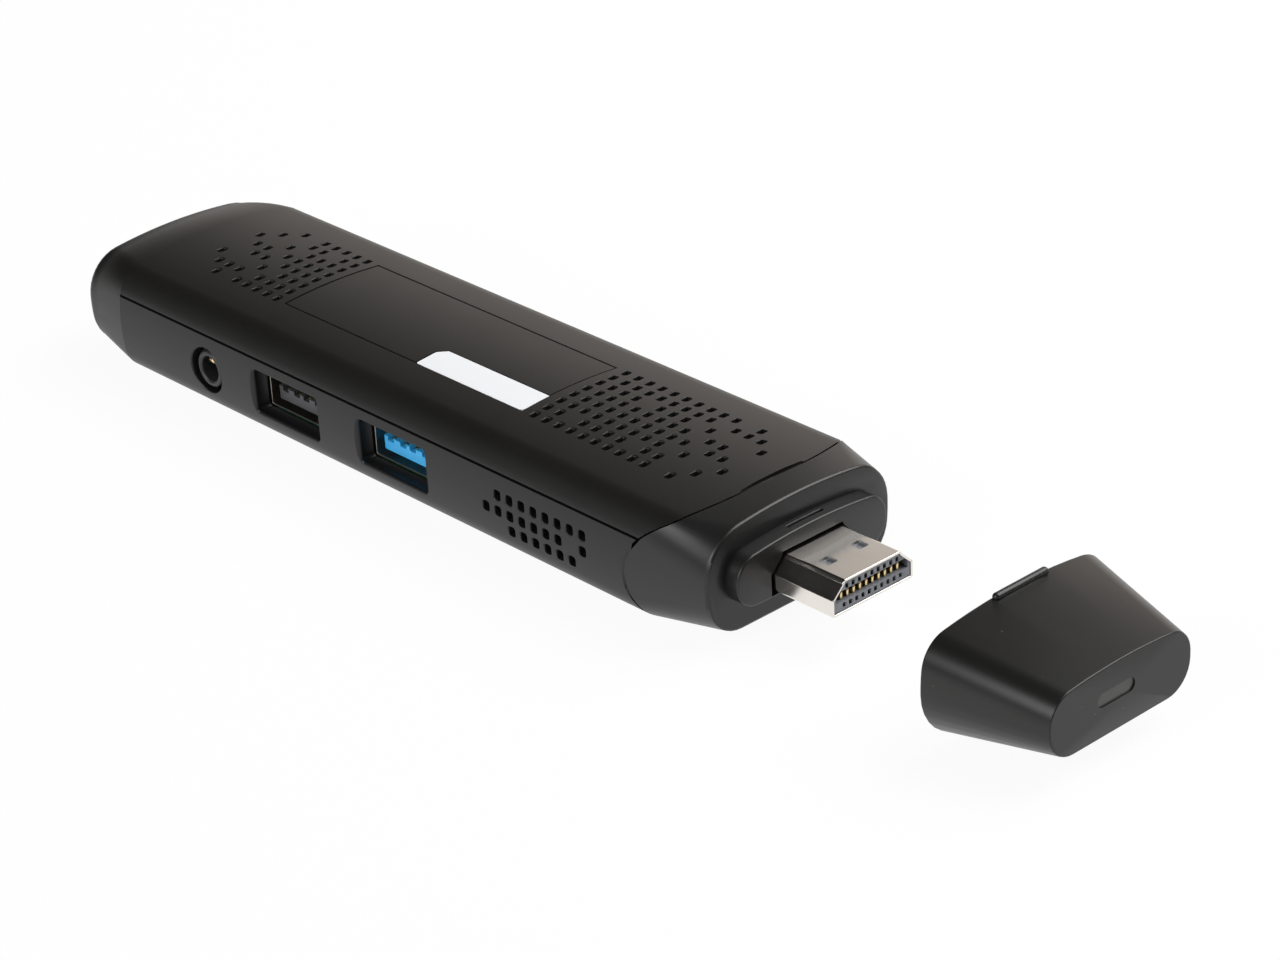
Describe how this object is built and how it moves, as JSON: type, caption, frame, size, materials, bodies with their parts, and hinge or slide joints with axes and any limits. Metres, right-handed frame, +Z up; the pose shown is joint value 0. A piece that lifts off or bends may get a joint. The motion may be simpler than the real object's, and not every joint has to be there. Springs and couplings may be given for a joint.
{
  "type": "hdmi stick computer",
  "caption": "Slim charcoal HDMI stick computer with perforated crowned cover, USB sockets, headphone socket and side grille, its protective plug cap pulled off and lying in line.",
  "frame": {"origin": "under the middle of the whole outline at rest, cap included, on the ground", "axes": "+X along the stick to the plug and the cap, -Y the side with the USB sockets, +Z up through the perforated cover"},
  "size_m": [0.1794, 0.034, 0.0165],
  "materials": {
    "housing_plastic": "fine matte texture",
    "cover_plastic": "fine matte texture",
    "label_film": "satin film",
    "white_paper": "satin coated",
    "board_green": "solder mask",
    "dark_insulator": "moulded",
    "blue_insulator": "moulded",
    "soft_pad": "soft silicone",
    "tinned_sheet": "tinned sheet",
    "nickel_shell": "nickel plated",
    "gold_contact": "gold plated",
    "copper_sheet": "bare copper",
    "clear_resin": "clear moulded"
  },
  "bodies": {
    "stick": {"main_housing": "housing_plastic", "vent_cover": "cover_plastic", "nose_collar": "housing_plastic", "rating_label": "label_film", "serial_sticker": "white_paper", "main_board": "board_green", "soc_chip": "dark_insulator", "memory_chips": "dark_insulator", "storage_chip": "dark_insulator", "wifi_module": "tinned_sheet", "wifi_antenna": "gold_contact", "voltage_chokes": "dark_insulator", "thermal_pad": "soft_pad", "heat_spreader": "copper_sheet", "fin_stack": "copper_sheet", "blower_frame": "dark_insulator", "blower_lid": "tinned_sheet", "blower_stator": "copper_sheet", "hdmi_shell": "nickel_shell", "hdmi_insert": "dark_insulator", "hdmi_contacts": "gold_contact", "usb3_shell": "nickel_shell", "usb3_tongue": "blue_insulator", "usb3_contacts": "gold_contact", "usb2_shell": "nickel_shell", "usb2_tongue": "dark_insulator", "usb2_contacts": "gold_contact", "jack_body": "dark_insulator", "jack_springs": "gold_contact", "inlet_shell": "nickel_shell", "inlet_tongue": "dark_insulator", "tact_switch": "dark_insulator", "status_led": "white_paper", "light_pipe": "clear_resin", "board_screws": "tinned_sheet"},
    "cap": {"end_cap": "cover_plastic"},
    "button": {"power_button": "housing_plastic", "switch_plunger": "dark_insulator"},
    "rotor": {"blower_impeller": "dark_insulator", "blower_shaft": "tinned_sheet"}
  },
  "joints": [
    {"name": "cap_slide", "type": "slide", "parent": "stick", "child": "cap", "axis": [-1, 0, 0], "range_m": [0, 0.0346]},
    {"name": "button_press", "type": "slide", "parent": "stick", "child": "button", "axis": [0, -1, 0], "range_m": [0, 0.0004], "stiffness_N_per_m": 2500},
    {"name": "blower_spin", "type": "hinge", "parent": "stick", "child": "rotor", "pos_m": [0.00915, 0.0012, 0.0086], "axis": [0, 0, 1], "continuous": true}
  ]
}
